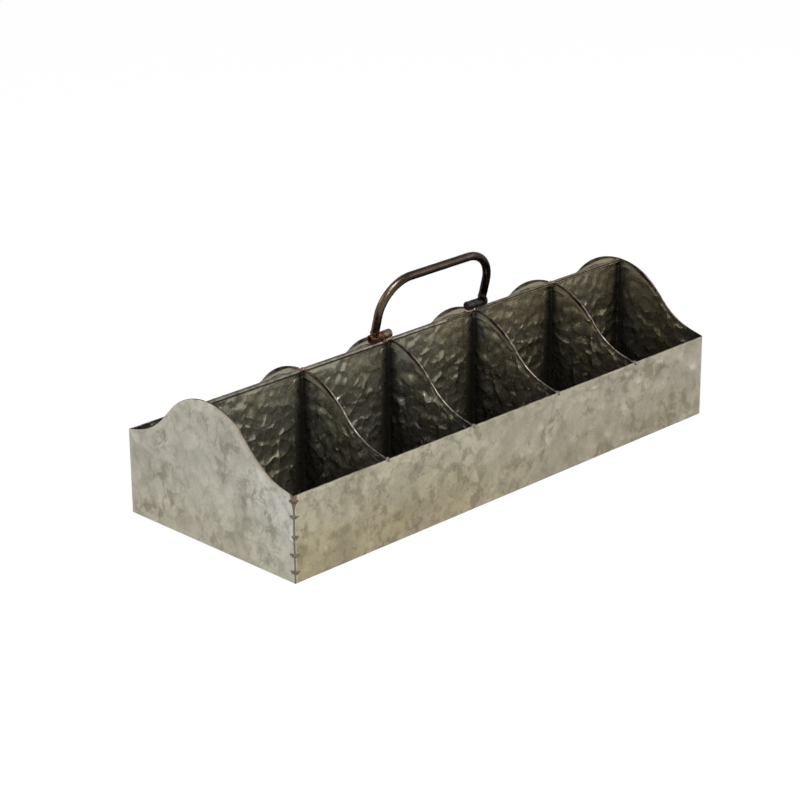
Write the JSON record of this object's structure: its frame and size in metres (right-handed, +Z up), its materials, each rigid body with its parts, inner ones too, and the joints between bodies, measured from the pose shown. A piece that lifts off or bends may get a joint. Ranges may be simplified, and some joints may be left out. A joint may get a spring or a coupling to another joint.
{
  "type": "bottle caddy",
  "caption": "Hammered galvanised sheet-metal bottle caddy: low walled tray with humped ends, a tall spine, curved dividers and a bail hinged on top of the spine.",
  "frame": {"origin": "middle of the length and width, on the face that the caddy stands on", "axes": "+X along the caddy, to the right as seen from the front; -Y towards the front wall; +Z up"},
  "size_m": [0.5088, 0.2038, 0.1874],
  "materials": {
    "galvanised_sheet": "mottled satin zinc with shallow hammer marks",
    "hammered_sheet": "dark aged zinc, strongly hammered, with sharp highlights",
    "rim_metal": "brown copper-toned worn edge",
    "weld_metal": "dull burnt weld metal",
    "bail_bronze": "dark bronze-brown satin steel, worn to copper on the bends",
    "pin_steel": "dark oiled steel"
  },
  "bodies": {
    "tray": {"floor_sheet": "galvanised_sheet", "front_right_shell": "galvanised_sheet", "back_left_shell": "galvanised_sheet", "spine_panel": "hammered_sheet", "spine_rim_wire": "rim_metal", "front_divider_1": "hammered_sheet", "front_divider_2": "hammered_sheet", "front_divider_3": "hammered_sheet", "front_divider_4": "hammered_sheet", "back_divider_1": "hammered_sheet", "back_divider_2": "hammered_sheet", "back_divider_3": "hammered_sheet", "back_divider_4": "hammered_sheet", "corner_weld_tacks": "weld_metal", "divider_weld_tacks": "weld_metal", "flange_spot_welds": "weld_metal", "left_fixed_knuckle": "bail_bronze", "left_knuckle_saddle": "bail_bronze", "right_fixed_knuckle": "bail_bronze", "right_knuckle_saddle": "bail_bronze", "left_hinge_pin": "pin_steel", "right_hinge_pin": "pin_steel"},
    "handle": {"bail_rod": "bail_bronze", "left_swing_knuckle": "bail_bronze", "right_swing_knuckle": "bail_bronze"}
  },
  "joints": [
    {"name": "handle_swing", "type": "hinge", "parent": "tray", "child": "handle", "pos_m": [0.0006, 0, 0.1324], "axis": [1, 0, 0], "range_deg": [-123.5, 94.7]}
  ]
}
